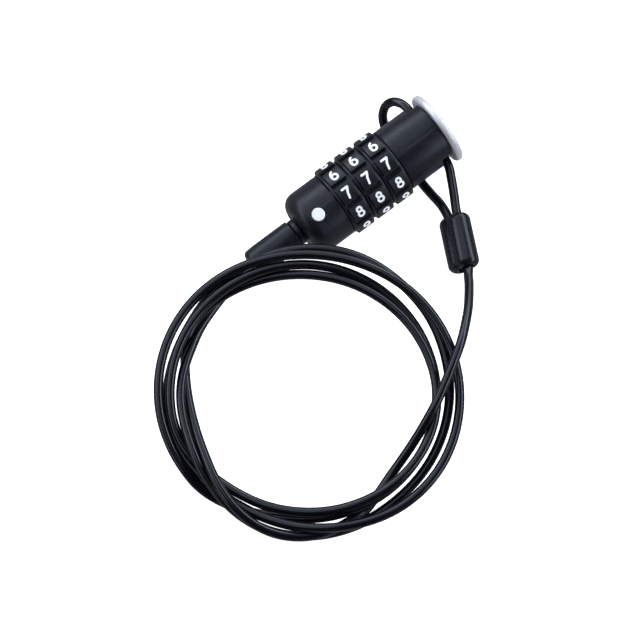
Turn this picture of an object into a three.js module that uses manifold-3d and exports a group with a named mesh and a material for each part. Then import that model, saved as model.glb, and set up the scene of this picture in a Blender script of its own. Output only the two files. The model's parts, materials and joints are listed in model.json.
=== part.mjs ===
// Combination cable lock for a laptop or other small equipment.
// A short cylindrical lock with three number dials carries a vinyl-coated steel cable. The cable
// leaves a swivelling strain relief, is wound into a coil, and ends in a crimped eye. The eye lies
// in a cross channel behind the lock's round metal head. With every dial on its code the head and
// its pin pull out by one dial pitch, and the eye comes free.
//
// Units are millimetres, +Z is up, and Z = 0 is the surface that the lock lies on. The lock's own
// parts are drawn in a lock frame: X runs along the lock from the cap's end face to the head, and
// Z points to the index row, where the code is read. That frame is rolled and tilted as the lock
// lies, resting on its first dial and on the strand of the eye that passes under it.
import * as THREE from 'three';
import { mergeVertices } from 'three/addons/utils/BufferGeometryUtils.js';
import Module from 'manifold-3d';

const wasm = await Module();
wasm.setup();

// ---- Driving dimensions ----
const GAP = 0.3;                  // clearance between neighbouring pieces
const CABLE_R = 1.5;              // 3 mm coated cable
const CABLE_HOLE_R = CABLE_R + GAP;

const BODY_R = 10.55;             // cap and front body
const CAP_LENGTH = 13.1;
const CAP_ROUND = 4.3;            // rounding of the cap's end edge
const CAP_FLOOR = 3.0;            // thickness of the cap's end wall
const CAP_BORE_R = 9.0;

const DIAL_COUNT = 3;
const DIAL_PITCH = 7.5;
const DIAL_WIDTH = DIAL_PITCH - GAP;
const FIRST_DIAL = CAP_LENGTH + GAP;
const DIGIT_COUNT = 10;
const DIGIT_PITCH = 2 * Math.PI / DIGIT_COUNT;
const DIAL_PAD_R = 11.7;          // outer face of the raised digit pads
const DIAL_VALLEY_R = 10.7;       // floor between the pads and at the dial's edges
const PAD_WIDTH = 5.8;
const PAD_INSET = 0.85;           // from the dial's edge to its pads
const PAD_SHARE = 0.8;            // part of the pad pitch that the pad fills
const NOTCH_FLOOR_R = 10.15;      // finger notch beside each pad
const NOTCH_WIDTH = 0.9;
const NOTCH_INSET = 1.1;          // from the dial's edge to its notches
const NOTCH_LEAN = THREE.MathUtils.degToRad(1.2);   // the notch lies nearer to the digit before it
const BORE_SHARE = 0.52;          // part of the pitch that a slot for a ring's lug fills

const FRONT_START = FIRST_DIAL + DIAL_COUNT * DIAL_PITCH;
const FRONT_LENGTH = 15.7;
const FRONT_END = FRONT_START + FRONT_LENGTH;
const CHANNEL_DEPTH = 4.2;
const CHANNEL_START = FRONT_END - CHANNEL_DEPTH;
const CHANNEL_HALF_HEIGHT = 5.4;
const FIN_RECESS_R = 8.8;         // room in the front body for the last fin
const FIN_RECESS_DEPTH = 3.4;
const INDEX_LINE_WIDTH = 0.3;
const INDEX_LINE_DEPTH = 0.25;
const FRONT_LINE_LENGTH = 3.7;

const HEAD_R = 12.1;
const HEAD_THICKNESS = 2.4;
const HEAD_ROUND = 1.0;
const HEAD_START = FRONT_END + GAP;
const HEAD_END = HEAD_START + HEAD_THICKNESS;
const SOCKET_FLOOR = 0.8;         // what is left of the head behind the pin's socket

const CORE_R = 6.6;               // tube that the code rings turn on
const CORE_FLANGE_R = 8.7;
const CORE_FLANGE_START = 11.1;
const CORE_FLANGE_END = 12.9;
const CORE_SPIGOT_R = 4.6;
const CORE_START = 4.8;
const CORE_END = FRONT_START + 8.1;
const PIN_R = 1.9;
const PIN_BORE_R = PIN_R + 0.4;
const PIN_START = 14.2;
const PIN_END = HEAD_END - SOCKET_FLOOR - GAP;
const FIN_R = 8.2;
const FIN_WIDTH = 1.4;
const FIN_LENGTH = 2.0;
const FIN_OFFSET = 0.9;           // from a dial's edge to its fin
const SLOT_WIDTH = 2.0;           // core slot and code ring gates

const RING_INNER_R = 6.85;
const RING_POCKET_R = 8.5;
const RING_ROOT_R = 9.1;
const RING_LUG_R = 9.6;
const RING_INSET = 0.2;
const RING_WEB_START = 3.6;
const RING_END = DIAL_WIDTH - RING_INSET;
const LUG_SHARE = 0.4;
const GROOVE_SHARE = 0.3;
const DETENT_GROOVE_R = 7.35;
const DETENT_OFFSET = 5.3;        // from a dial's edge to its detent ball
const DETENT_BALL_R = 0.9;
const DETENT_BALL_TOP = 6.65;
const DETENT_SPRING_R = 0.75;
const DETENT_HOLE_R = 1.1;
const DETENT_HOLE_FLOOR = 3.0;

const BUTTON_R = 2.05;
const BUTTON_AT = 6.1;            // along the lock
const BUTTON_HOLE_R = 2.3;
const BUTTON_FLANGE_R = 2.8;
const BUTTON_FLANGE_BOTTOM = 7.2;
const BUTTON_FLANGE_TOP = 8.15;
const BUTTON_TOP = 10.65;
const BUTTON_CHAMFER = 0.2;
const RESET_SPRING_R = 1.2;

const SWIVEL_SHANK_R = 2.3;
const SWIVEL_HOLE_R = SWIVEL_SHANK_R + GAP;
const SWIVEL_FLANGE_R = 4.2;
const STUD_START = -5.6;
const STUD_END = 4.5;
const COLLAR_R = 4.25;
const COLLAR_START = -2.0;
const RELIEF_R = 4.7;
const RELIEF_START = -18.6;
const RELIEF_END = -2.3;
const RELIEF_ROUND = 1.7;
const RELIEF_CHAMFER = 0.5;
const RELIEF_CAVITY_START = -9.9;
const CRIMP_R = 3.0;
const CRIMP_START = RELIEF_CAVITY_START + GAP;
const CRIMP_END = STUD_START - GAP;

const ROLL_PIN_R = 0.5;
const ROLL_PIN_HOLE_R = 0.75;
const ROLL_PIN_DEEP = 10.2;       // from the lock's axis to the pins' outer ends
const CAP_PIN_AT = 12.0;
const CAP_PIN_TOP = 6.5;
const FRONT_PIN_AT = CORE_END - 2;
const FRONT_PIN_TOP = 3.5;

const FERRULE_LENGTH = 17.8;
const FERRULE_LOBE_R = 3.7;
const FERRULE_WALL = 0.95;
const STRAND_SPACING = 3.3;       // between the two strands in the ferrule
const FERRULE_ROUND = 2.2;
const FERRULE_END_WALL = 1.2;
const FERRULE_MOUTH_R = CABLE_R + 0.5;
const SLEEVE_INSET = 1.5;         // from the cover's cavity to the sleeve's ends

// ---- How the lock lies ----
const LOCK_X = -18.13;            // centres the lock's box on X = 0
const LOCK_TILT = THREE.MathUtils.degToRad(5);
const LOCK_ROLL = THREE.MathUtils.degToRad(14);
const REST_EDGE = FIRST_DIAL + PAD_INSET;
const LOCK_Z = DIAL_PAD_R * Math.cos(LOCK_TILT) - REST_EDGE * Math.sin(LOCK_TILT);

// ---- How the cable lies ----
const COIL_CENTRE = [-47.0, -43.9, 10.8];
const COIL_YAW = THREE.MathUtils.degToRad(-36.8);
const COIL_TILT = THREE.MathUtils.degToRad(10);
const COIL_R = 42.0;              // to the middle of the bunch of turns
const COIL_SQUASH = 0.965;        // the coil is a little narrower across its tilt
const COIL_WIDTH = 10.4;
const COIL_HEIGHT = 6.2;
const COIL_ROUND = 3.0;

const FERRULE_CENTRE = [20.8, -31.74, 6.2];  // middle of the upper strand's hole
const FERRULE_YAW = THREE.MathUtils.degToRad(64);
const FERRULE_ROLL = THREE.MathUtils.degToRad(48);

const LEAD_ROUTE = [
  [-24.6, 0, 9.85], [-30.5, 0, 9.33], [-36.4, 0, 8.82], [-39.6, -0.35, 8.55], [-43.4, -0.9, 8.3],
  [-48.9, -2.4, 8.0], [-55.6, -4.5, 7.9], [-61.4, -7.0, 8.3],
];

const TAIL_ROUTE = [
  [-41.2, -77.4, 4.0], [-34.8, -75.7, 7.0], [-29.6, -74.2, 10.2], [-24.2, -72.3, 13.3],
  [-18.7, -69.9, 15.4], [-13.4, -67.0, 16.8], [-8.0, -63.8, 17.7], [-2.5, -60.2, 17.6],
  [2.2, -56.3, 16.1], [6.8, -52.0, 13.8], [10.6, -47.7, 11.0], [13.5, -44.1, 8.5],
  [15.2, -41.7, 7.1], [17.0, -39.4, 6.35], [18.6, -36.2, 6.2], [20.7, -32.0, 6.2],
];

const EYE_ROUTE = [
  [20.95, -31.45, 6.2], [22.8, -27.7, 6.2], [24.6, -23.9, 6.2], [25.85, -21.45, 6.3],
  [27.45, -18.7, 6.65], [28.9, -16.05, 7.1], [30.3, -13.3, 7.65], [31.5, -10.8, 8.3],
  [32.1, -8.0, 9.0], [32.05, -4.5, 9.9], [31.9, 0.9, 11.25], [31.75, 6.2, 12.55],
  [31.8, 10.1, 13.5], [31.5, 13.5, 13.0], [30.15, 16.35, 11.3], [28.35, 17.4, 9.05],
  [26.75, 16.85, 6.55], [25.8, 15.6, 4.65], [24.95, 12.75, 2.4], [24.45, 9.15, 1.6],
  [24.1, 3.4, 1.56], [23.75, -2.6, 1.56], [23.45, -8.1, 1.56], [23.5, -12.6, 1.9],
  [23.5, -16.95, 2.8], [23.0, -20.4, 3.35], [22.05, -23.9, 3.65], [20.65, -27.0, 3.75],
  [19.1, -30.15, 3.75],
];

// ---- Finishes ----
const FINISH = {
  moulding: { color: 0x1b1d21, roughness: 0.45, metalness: 0 },
  cable: { color: 0x0d0e11, roughness: 0.28, metalness: 0 },
  head: { color: 0xc4c5cc, roughness: 0.4, metalness: 0.9 },
  button: { color: 0xf0f1f4, roughness: 0.4, metalness: 0 },
  steel: { color: 0x9a9ca1, roughness: 0.35, metalness: 1 },
  brass: { color: 0xb58e47, roughness: 0.35, metalness: 1 },
  zinc: { color: 0x8c8f94, roughness: 0.5, metalness: 1 },
};

const CIRCLE_STEPS = 48;
const HIDDEN_STEPS = 30;
const HOLE_STEPS = 16;
const CABLE_SIDES = 16;
const TURN = 2 * Math.PI;

// ---- Shape helpers ----

// Lathe about the lock's X axis. Each profile point is [along, radius].
function turned(profile, steps = CIRCLE_STEPS) {
  const points = profile.map(([along, radius]) => new THREE.Vector2(radius, along));
  return new THREE.LatheGeometry(points, steps).rotateZ(-Math.PI / 2);
}

// Lathe about Z. Each profile point is [height, radius].
function turnedUpright(profile, steps = HIDDEN_STEPS) {
  const points = profile.map(([height, radius]) => new THREE.Vector2(radius, height));
  return new THREE.LatheGeometry(points, steps).rotateX(Math.PI / 2);
}

// Closed profile of a plain tube between two places along X.
function tubeProfile(start, end, outerR, innerR) {
  return [[start, innerR], [start, outerR], [end, outerR], [end, innerR], [start, innerR]];
}

// Profile points of a quarter round about [along, radius], between two angles from the X axis.
function roundProfile(along, radius, size, fromDeg, toDeg, steps = 6) {
  const points = [];
  for (let i = 0; i <= steps; i += 1) {
    const angle = THREE.MathUtils.degToRad(fromDeg + (toDeg - fromDeg) * i / steps);
    points.push([along + size * Math.cos(angle), radius + size * Math.sin(angle)]);
  }
  return points;
}

function circlePoints(radius, steps = CIRCLE_STEPS) {
  const points = [];
  for (let i = 0; i < steps; i += 1) {
    const angle = TURN * i / steps;
    points.push(new THREE.Vector2(-radius * Math.sin(angle), radius * Math.cos(angle)));
  }
  return points;
}

// Outline with teeth of equal pitch, the first one centred on the index row. Share is the part of
// the pitch that a tooth fills.
function toothedPoints(count, rootR, toothR, share, arcSteps = 4) {
  const points = [];
  const pitch = TURN / count;
  const addArc = (radius, middle, width) => {
    for (let i = 0; i <= arcSteps; i += 1) {
      const angle = middle + width * (i / arcSteps - 0.5);
      points.push(new THREE.Vector2(-radius * Math.sin(angle), radius * Math.cos(angle)));
    }
  };
  for (let k = 0; k < count; k += 1) {
    addArc(toothR, k * pitch, share * pitch);
    addArc(rootR, (k + 0.5) * pitch, (1 - share) * pitch);
  }
  return points;
}

// Extrude an outline along X. Its plane's first axis becomes Y and its second becomes Z.
function extruded(outline, holes, start, length) {
  const shape = new THREE.Shape(outline);
  for (const hole of holes) {
    shape.holes.push(new THREE.Path(hole));
  }
  const geometry = new THREE.ExtrudeGeometry(shape, { depth: length, bevelEnabled: false });
  const cycle = new THREE.Matrix4().set(0, 0, 1, start, 1, 0, 0, 0, 0, 1, 0, 0, 0, 0, 0, 1);
  return geometry.applyMatrix4(cycle);
}

function box(low, high) {
  const size = high.map((value, i) => value - low[i]);
  const middle = high.map((value, i) => (value + low[i]) / 2);
  return new THREE.BoxGeometry(...size).translate(...middle);
}

// Round bar along Z between two heights.
function uprightBar(radius, low, high, along, steps = HIDDEN_STEPS) {
  const bar = new THREE.CylinderGeometry(radius, radius, high - low, steps);
  return bar.rotateX(Math.PI / 2).translate(along, 0, (low + high) / 2);
}

function toSolid(geometry) {
  const bare = geometry.clone();
  bare.deleteAttribute('normal');
  bare.deleteAttribute('uv');
  const merged = mergeVertices(bare, 1e-4);
  const corners = merged.index.array;
  const kept = [];
  for (let i = 0; i < corners.length; i += 3) {
    const [a, b, c] = [corners[i], corners[i + 1], corners[i + 2]];
    if (a !== b && b !== c && c !== a) {
      kept.push(a, b, c);
    }
  }
  const mesh = new wasm.Mesh({
    numProp: 3,
    vertProperties: new Float32Array(merged.attributes.position.array),
    triVerts: new Uint32Array(kept),
  });
  return new wasm.Manifold(mesh);
}

function toGeometry(solid) {
  const mesh = solid.getMesh();
  const geometry = new THREE.BufferGeometry();
  geometry.setAttribute('position', new THREE.BufferAttribute(mesh.vertProperties, 3));
  geometry.setIndex(new THREE.BufferAttribute(mesh.triVerts, 1));
  geometry.computeVertexNormals();
  return geometry;
}

function join(base, ...others) {
  let solid = toSolid(base);
  for (const other of others) {
    solid = solid.add(toSolid(other));
  }
  return toGeometry(solid);
}

function cut(base, ...tools) {
  let solid = toSolid(base);
  for (const tool of tools) {
    solid = solid.subtract(toSolid(tool));
  }
  return toGeometry(solid);
}

// Tube of the cable's diameter along a smooth curve through the route's points.
function cableTube(route, steps) {
  const curve = new THREE.CatmullRomCurve3(route.map((point) => new THREE.Vector3(...point)));
  const section = new THREE.Shape(circlePoints(CABLE_R, CABLE_SIDES));
  return new THREE.ExtrudeGeometry(section, { steps, bevelEnabled: false, extrudePath: curve });
}

function piece(name, geometry, finish) {
  const mesh = new THREE.Mesh(geometry, new THREE.MeshStandardMaterial(FINISH[finish]));
  mesh.name = name;
  return mesh;
}

const dialStart = (index) => FIRST_DIAL + index * DIAL_PITCH;

// ---- Lock body ----

// Cutter for a piece of the engraved index line.
function indexLine(start, end) {
  const half = INDEX_LINE_WIDTH / 2;
  return box([start, -half, BODY_R - INDEX_LINE_DEPTH], [end, half, BODY_R + 1]);
}

function rearCap() {
  const shell = turned([
    [CAP_FLOOR, SWIVEL_HOLE_R], [0, SWIVEL_HOLE_R],
    ...roundProfile(CAP_ROUND, BODY_R - CAP_ROUND, CAP_ROUND, 180, 90, 6),
    [CAP_LENGTH, BODY_R], [CAP_LENGTH, CAP_BORE_R], [CAP_FLOOR, CAP_BORE_R],
    [CAP_FLOOR, SWIVEL_HOLE_R],
  ]);
  const buttonHole = uprightBar(BUTTON_HOLE_R, CORE_R, BODY_R + 1, BUTTON_AT);
  const rollPinHole = uprightBar(ROLL_PIN_HOLE_R, -BODY_R - 1, -CORE_R, CAP_PIN_AT, HOLE_STEPS);
  return cut(shell, buttonHole, rollPinHole, indexLine(BUTTON_AT, CAP_LENGTH + 1));
}

function frontBody() {
  const recessEnd = FRONT_START + FIN_RECESS_DEPTH;
  const shell = turned([
    [recessEnd, FIN_RECESS_R], [FRONT_START, FIN_RECESS_R], [FRONT_START, BODY_R],
    [FRONT_END - GAP, BODY_R], [FRONT_END, BODY_R - GAP], [FRONT_END, PIN_BORE_R],
    [CORE_END + GAP, PIN_BORE_R], [CORE_END + GAP, CORE_R + GAP], [recessEnd, CORE_R + GAP],
    [recessEnd, FIN_RECESS_R],
  ]);
  const channel = box(
    [CHANNEL_START, -BODY_R - 1, -CHANNEL_HALF_HEIGHT],
    [FRONT_END + 1, BODY_R + 1, CHANNEL_HALF_HEIGHT]);
  const rollPinHole = uprightBar(ROLL_PIN_HOLE_R, -BODY_R - 1, -CORE_R, FRONT_PIN_AT, HOLE_STEPS);
  const line = indexLine(FRONT_START - 1, FRONT_START + FRONT_LINE_LENGTH);
  return cut(shell, channel, rollPinHole, line);
}

function coreSleeve() {
  const tube = turned([
    [CORE_START, 0], [CORE_START, CORE_SPIGOT_R], [CORE_FLANGE_START, CORE_SPIGOT_R],
    [CORE_FLANGE_START, CORE_FLANGE_R], [CORE_FLANGE_END, CORE_FLANGE_R],
    [CORE_FLANGE_END, CORE_R], [CORE_END, CORE_R], [CORE_END, PIN_BORE_R],
    [PIN_START - GAP, PIN_BORE_R], [PIN_START - GAP, 0],
  ], HIDDEN_STEPS);
  const slot = box(
    [PIN_START - GAP, -SLOT_WIDTH / 2, 0], [CORE_END + 1, SLOT_WIDTH / 2, CORE_R + 1]);
  const holes = [
    uprightBar(ROLL_PIN_HOLE_R, -CORE_FLANGE_R - 1, GAP - CAP_PIN_TOP, CAP_PIN_AT, HOLE_STEPS),
    uprightBar(ROLL_PIN_HOLE_R, -CORE_R - 1, GAP - FRONT_PIN_TOP, FRONT_PIN_AT, HOLE_STEPS),
  ];
  for (let i = 0; i < DIAL_COUNT; i += 1) {
    const along = dialStart(i) + DETENT_OFFSET;
    holes.push(uprightBar(DETENT_HOLE_R, -CORE_R - 1, -DETENT_HOLE_FLOOR, along, HOLE_STEPS));
  }
  return cut(tube, slot, ...holes);
}

function rollPin(top, along) {
  return uprightBar(ROLL_PIN_R, -ROLL_PIN_DEEP, -top, along, HOLE_STEPS);
}

// ---- Dials and code rings ----

function dial(index) {
  const start = dialStart(index);
  const bore = toothedPoints(DIGIT_COUNT, RING_ROOT_R + GAP, RING_LUG_R + GAP, BORE_SHARE, 1);
  const barrel = extruded(circlePoints(DIAL_VALLEY_R), [bore], start, DIAL_WIDTH);
  const padOutline = toothedPoints(DIGIT_COUNT, DIAL_VALLEY_R - 0.3, DIAL_PAD_R, PAD_SHARE, 4);
  const padBore = circlePoints(DIAL_VALLEY_R - 0.6);
  const pads = extruded(padOutline, [padBore], start + PAD_INSET, PAD_WIDTH);
  const notches = [];
  for (let k = 0; k < DIGIT_COUNT; k += 1) {
    const notch = box(
      [start + NOTCH_INSET, -NOTCH_WIDTH / 2, NOTCH_FLOOR_R],
      [start + DIAL_WIDTH - NOTCH_INSET, NOTCH_WIDTH / 2, DIAL_PAD_R + 1]);
    notches.push(notch.rotateX((k + 0.5) * DIGIT_PITCH - NOTCH_LEAN));
  }
  return cut(join(barrel, pads), ...notches);
}

// A ring keyed into its dial. Its pocket lets the pin's fin stand free, and its web blocks the fin
// except at the gate, which is on the index row when the dial shows the code.
function codeRing(index) {
  const start = dialStart(index);
  const outline = toothedPoints(DIGIT_COUNT, RING_ROOT_R, RING_LUG_R, LUG_SHARE, 1);
  const pocketLength = RING_WEB_START - RING_INSET + GAP;
  const pocket = extruded(
    outline, [circlePoints(RING_POCKET_R, HIDDEN_STEPS)], start + RING_INSET, pocketLength);
  const grooves = toothedPoints(DIGIT_COUNT, RING_INNER_R, DETENT_GROOVE_R, GROOVE_SHARE, 1);
  const web = extruded(outline, [grooves], start + RING_WEB_START, RING_END - RING_WEB_START);
  const gate = box(
    [start, -SLOT_WIDTH / 2, CORE_SPIGOT_R], [start + DIAL_WIDTH, SLOT_WIDTH / 2, RING_POCKET_R]);
  return cut(join(pocket, web), gate);
}

function detentBall(index) {
  const ball = new THREE.SphereGeometry(DETENT_BALL_R, 10, 6);
  const centre = -(DETENT_BALL_TOP - DETENT_BALL_R);
  return ball.translate(dialStart(index) + DETENT_OFFSET, 0, centre);
}

function detentSpring(index) {
  const low = -(DETENT_BALL_TOP - 2 * DETENT_BALL_R - GAP / 2);
  const high = -(DETENT_HOLE_FLOOR + GAP / 2);
  return uprightBar(DETENT_SPRING_R, low, high, dialStart(index) + DETENT_OFFSET, 12);
}

// ---- Locking pin and head ----

function lockingPin() {
  const shaft = turned(
    [[PIN_START, 0], [PIN_START, PIN_R], [PIN_END, PIN_R], [PIN_END, 0]], HIDDEN_STEPS);
  const fins = [];
  for (let i = 0; i < DIAL_COUNT; i += 1) {
    const start = dialStart(i) + FIN_OFFSET;
    fins.push(box([start, -FIN_WIDTH / 2, 0], [start + FIN_LENGTH, FIN_WIDTH / 2, FIN_R]));
  }
  return join(shaft, ...fins);
}

function headDisc() {
  const socketEnd = HEAD_END - SOCKET_FLOOR;
  const rimR = HEAD_R - HEAD_ROUND;
  return turned([
    [socketEnd, 0], [socketEnd, PIN_R + GAP], [HEAD_START, PIN_R + GAP],
    ...roundProfile(HEAD_START + HEAD_ROUND, rimR, HEAD_ROUND, 180, 90, 3),
    ...roundProfile(HEAD_END - HEAD_ROUND, rimR, HEAD_ROUND, 90, 0, 3),
    [HEAD_END, 0],
  ]);
}

// ---- Code reset button ----

function resetButton() {
  const button = turnedUpright([
    [BUTTON_FLANGE_BOTTOM, 0], [BUTTON_FLANGE_BOTTOM, BUTTON_FLANGE_R],
    [BUTTON_FLANGE_TOP, BUTTON_FLANGE_R], [BUTTON_FLANGE_TOP, BUTTON_R],
    [BUTTON_TOP - BUTTON_CHAMFER, BUTTON_R], [BUTTON_TOP, BUTTON_R - BUTTON_CHAMFER],
    [BUTTON_TOP, 0],
  ]);
  return button.translate(BUTTON_AT, 0, 0);
}

function resetSpring() {
  const low = CORE_SPIGOT_R + GAP;
  return uprightBar(RESET_SPRING_R, low, BUTTON_FLANGE_BOTTOM - 0.1, BUTTON_AT, HOLE_STEPS);
}

// ---- Swivelling cable outlet ----

function swivelStud() {
  return turned([
    [STUD_START, 0], [STUD_START, SWIVEL_SHANK_R], [CAP_FLOOR + GAP, SWIVEL_SHANK_R],
    [CAP_FLOOR + GAP, SWIVEL_FLANGE_R], [STUD_END, SWIVEL_FLANGE_R], [STUD_END, 0],
  ], HIDDEN_STEPS);
}

function swivelCollar() {
  return turned([
    [COLLAR_START, SWIVEL_HOLE_R], [COLLAR_START, COLLAR_R], [-2 * GAP, COLLAR_R],
    [-GAP, COLLAR_R - GAP], [-GAP, SWIVEL_HOLE_R], [COLLAR_START, SWIVEL_HOLE_R],
  ]);
}

function strainRelief() {
  const cavityR = CRIMP_R + GAP;
  const roundAt = RELIEF_START + RELIEF_ROUND;
  return turned([
    [RELIEF_CAVITY_START, CABLE_HOLE_R], [RELIEF_START, CABLE_HOLE_R],
    ...roundProfile(roundAt, RELIEF_R - RELIEF_ROUND, RELIEF_ROUND, 180, 90, 3),
    [RELIEF_END - RELIEF_CHAMFER, RELIEF_R], [RELIEF_END, RELIEF_R - RELIEF_CHAMFER],
    [RELIEF_END, cavityR], [RELIEF_CAVITY_START, cavityR], [RELIEF_CAVITY_START, CABLE_HOLE_R],
  ]);
}

function cableCrimp() {
  return turned(tubeProfile(CRIMP_START, CRIMP_END, CRIMP_R, CABLE_HOLE_R), HIDDEN_STEPS);
}

// ---- Cable ----

// One ring of the outer shape of the coil's turns, in its own plane about Z.
function coilRing() {
  const across = COIL_WIDTH / 2 - COIL_ROUND;
  const up = COIL_HEIGHT / 2 - COIL_ROUND;
  const profile = [
    ...roundProfile(up, COIL_R + across, COIL_ROUND, 90, 0, 2),
    ...roundProfile(up, COIL_R - across, COIL_ROUND, 0, -90, 2),
    ...roundProfile(-up, COIL_R - across, COIL_ROUND, -90, -180, 2),
    ...roundProfile(-up, COIL_R + across, COIL_ROUND, 180, 90, 2),
  ];
  return turnedUpright([...profile, profile[0]], 40).scale(1, COIL_SQUASH, 1);
}

// ---- Ferrule that closes the eye ----

// Outline round the two strands, with the upper strand's hole at the origin.
function lobePoints(radius, steps = 12) {
  const points = [];
  for (const [across, firstAngle] of [[STRAND_SPACING, -Math.PI / 2], [0, Math.PI / 2]]) {
    for (let i = 0; i <= steps; i += 1) {
      const angle = firstAngle + Math.PI * i / steps;
      points.push(new THREE.Vector2(across + radius * Math.cos(angle), radius * Math.sin(angle)));
    }
  }
  return points;
}

// Bar along X that makes the hole of one strand.
function strandHole(radius, across, start, end) {
  const bar = new THREE.CylinderGeometry(radius, radius, end - start, HOLE_STEPS);
  return bar.rotateZ(Math.PI / 2).translate((start + end) / 2, across, 0);
}

function ferruleCover() {
  const flatLength = FERRULE_LENGTH - 2 * FERRULE_ROUND;
  const shape = new THREE.Shape(lobePoints(FERRULE_LOBE_R));
  const geometry = new THREE.ExtrudeGeometry(shape, {
    depth: flatLength,
    bevelThickness: FERRULE_ROUND,
    bevelSize: FERRULE_ROUND,
    bevelOffset: -FERRULE_ROUND,
    bevelSegments: 4,
  });
  const cycle = new THREE.Matrix4().set(
    0, 0, 1, -flatLength / 2, 1, 0, 0, 0, 0, 1, 0, 0, 0, 0, 0, 1);
  geometry.applyMatrix4(cycle);
  const inside = FERRULE_LENGTH / 2 - FERRULE_END_WALL;
  const cavity = extruded(
    lobePoints(FERRULE_LOBE_R - FERRULE_WALL), [], -inside, 2 * inside);
  const through = strandHole(FERRULE_MOUTH_R, 0, -FERRULE_LENGTH, FERRULE_LENGTH);
  const eyeEnd = strandHole(FERRULE_MOUTH_R, STRAND_SPACING, 0, FERRULE_LENGTH);
  return cut(geometry, cavity, through, eyeEnd);
}

function ferruleSleeve() {
  const half = FERRULE_LENGTH / 2 - FERRULE_END_WALL - SLEEVE_INSET;
  const outerR = FERRULE_LOBE_R - FERRULE_WALL - GAP;
  const outer = extruded(lobePoints(outerR), [], -half, 2 * half);
  const through = strandHole(CABLE_HOLE_R, 0, -FERRULE_LENGTH, FERRULE_LENGTH);
  const eyeEnd = strandHole(CABLE_HOLE_R, STRAND_SPACING, -FERRULE_LENGTH, FERRULE_LENGTH);
  return cut(outer, through, eyeEnd);
}

// ---- Assembly ----

const rolled = new THREE.Group();
rolled.rotation.x = LOCK_ROLL;
rolled.add(
  piece('rear_cap', rearCap(), 'moulding'),
  piece('front_body', frontBody(), 'moulding'),
  piece('core_sleeve', coreSleeve(), 'zinc'),
  piece('cap_roll_pin', rollPin(CAP_PIN_TOP, CAP_PIN_AT), 'steel'),
  piece('body_roll_pin', rollPin(FRONT_PIN_TOP, FRONT_PIN_AT), 'steel'),
);
for (let i = 0; i < DIAL_COUNT; i += 1) {
  rolled.add(
    piece(`dial_${i + 1}`, dial(i), 'moulding'),
    piece(`code_ring_${i + 1}`, codeRing(i), 'brass'),
    piece(`detent_ball_${i + 1}`, detentBall(i), 'steel'),
    piece(`detent_spring_${i + 1}`, detentSpring(i), 'steel'),
  );
}
rolled.add(
  piece('locking_pin', lockingPin(), 'steel'),
  piece('head_disc', headDisc(), 'head'),
  piece('reset_button', resetButton(), 'button'),
  piece('reset_spring', resetSpring(), 'steel'),
  piece('swivel_stud', swivelStud(), 'steel'),
  piece('swivel_collar', swivelCollar(), 'moulding'),
  piece('strain_relief', strainRelief(), 'moulding'),
  piece('cable_crimp', cableCrimp(), 'zinc'),
);

const lock = new THREE.Group();
lock.rotation.y = -LOCK_TILT;
lock.position.set(LOCK_X, 0, LOCK_Z);
lock.add(rolled);

const coil = new THREE.Group();
coil.rotation.set(COIL_TILT, 0, COIL_YAW, 'ZXY');
coil.position.set(...COIL_CENTRE);
coil.add(piece('cable_coil', coilRing(), 'cable'));

const ferrule = new THREE.Group();
ferrule.rotation.set(-FERRULE_ROLL, 0, FERRULE_YAW, 'ZXY');
ferrule.position.set(...FERRULE_CENTRE);
ferrule.add(
  piece('ferrule_cover', ferruleCover(), 'moulding'),
  piece('ferrule_sleeve', ferruleSleeve(), 'zinc'),
);

const cableLock = new THREE.Group();
cableLock.add(
  lock,
  coil,
  ferrule,
  piece('cable_lead', cableTube(LEAD_ROUTE, 14), 'cable'),
  piece('cable_tail', cableTube(TAIL_ROUTE, 28), 'cable'),
  piece('cable_eye', cableTube(EYE_ROUTE, 56), 'cable'),
);

export default cableLock;
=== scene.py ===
import json
import math

import bmesh
import bpy
import numpy as np
from mathutils import Matrix, Vector
from mathutils.geometry import delaunay_2d_cdt


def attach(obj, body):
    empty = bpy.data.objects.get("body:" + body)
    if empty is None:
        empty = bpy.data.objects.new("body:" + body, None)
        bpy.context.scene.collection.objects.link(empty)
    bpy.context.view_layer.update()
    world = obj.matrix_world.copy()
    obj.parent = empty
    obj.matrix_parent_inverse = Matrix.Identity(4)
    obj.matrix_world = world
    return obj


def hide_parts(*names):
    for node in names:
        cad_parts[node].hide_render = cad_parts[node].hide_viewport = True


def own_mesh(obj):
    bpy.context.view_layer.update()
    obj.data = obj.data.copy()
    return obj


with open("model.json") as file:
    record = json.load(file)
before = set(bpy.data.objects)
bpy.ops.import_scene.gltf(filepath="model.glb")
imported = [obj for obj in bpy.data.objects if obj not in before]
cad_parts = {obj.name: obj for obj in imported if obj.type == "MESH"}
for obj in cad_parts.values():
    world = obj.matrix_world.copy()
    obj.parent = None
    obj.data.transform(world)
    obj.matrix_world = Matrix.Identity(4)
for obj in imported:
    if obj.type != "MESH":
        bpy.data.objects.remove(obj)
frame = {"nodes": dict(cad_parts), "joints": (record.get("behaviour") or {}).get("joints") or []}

# A combination cable lock. Sizes here are in millimetres, and MM turns them into metres. The lock's
# own pieces are drawn in the lock frame: X along the lock from the cap's end face to the head, and
# Z towards the index row. An angle round the lock is measured from the index row towards -Y.

MM = 0.001
TURN = 2 * math.pi

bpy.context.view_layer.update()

joints = {joint["name"]: joint for joint in frame["joints"]}
ALONG = Vector(joints["dial_1_turn"]["axis"]).normalized()
INDEX = -Vector(joints["reset_press"]["axis"]).normalized()
ACROSS = INDEX.cross(ALONG)


def placed(x_axis, y_axis, z_axis, origin_m):
    """Matrix that takes millimetres along a piece's own axes to metres in the object's frame."""
    turn = Matrix((x_axis, y_axis, z_axis)).transposed().to_4x4()
    return Matrix.Translation(origin_m) @ turn @ Matrix.Scale(MM, 4)


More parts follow.
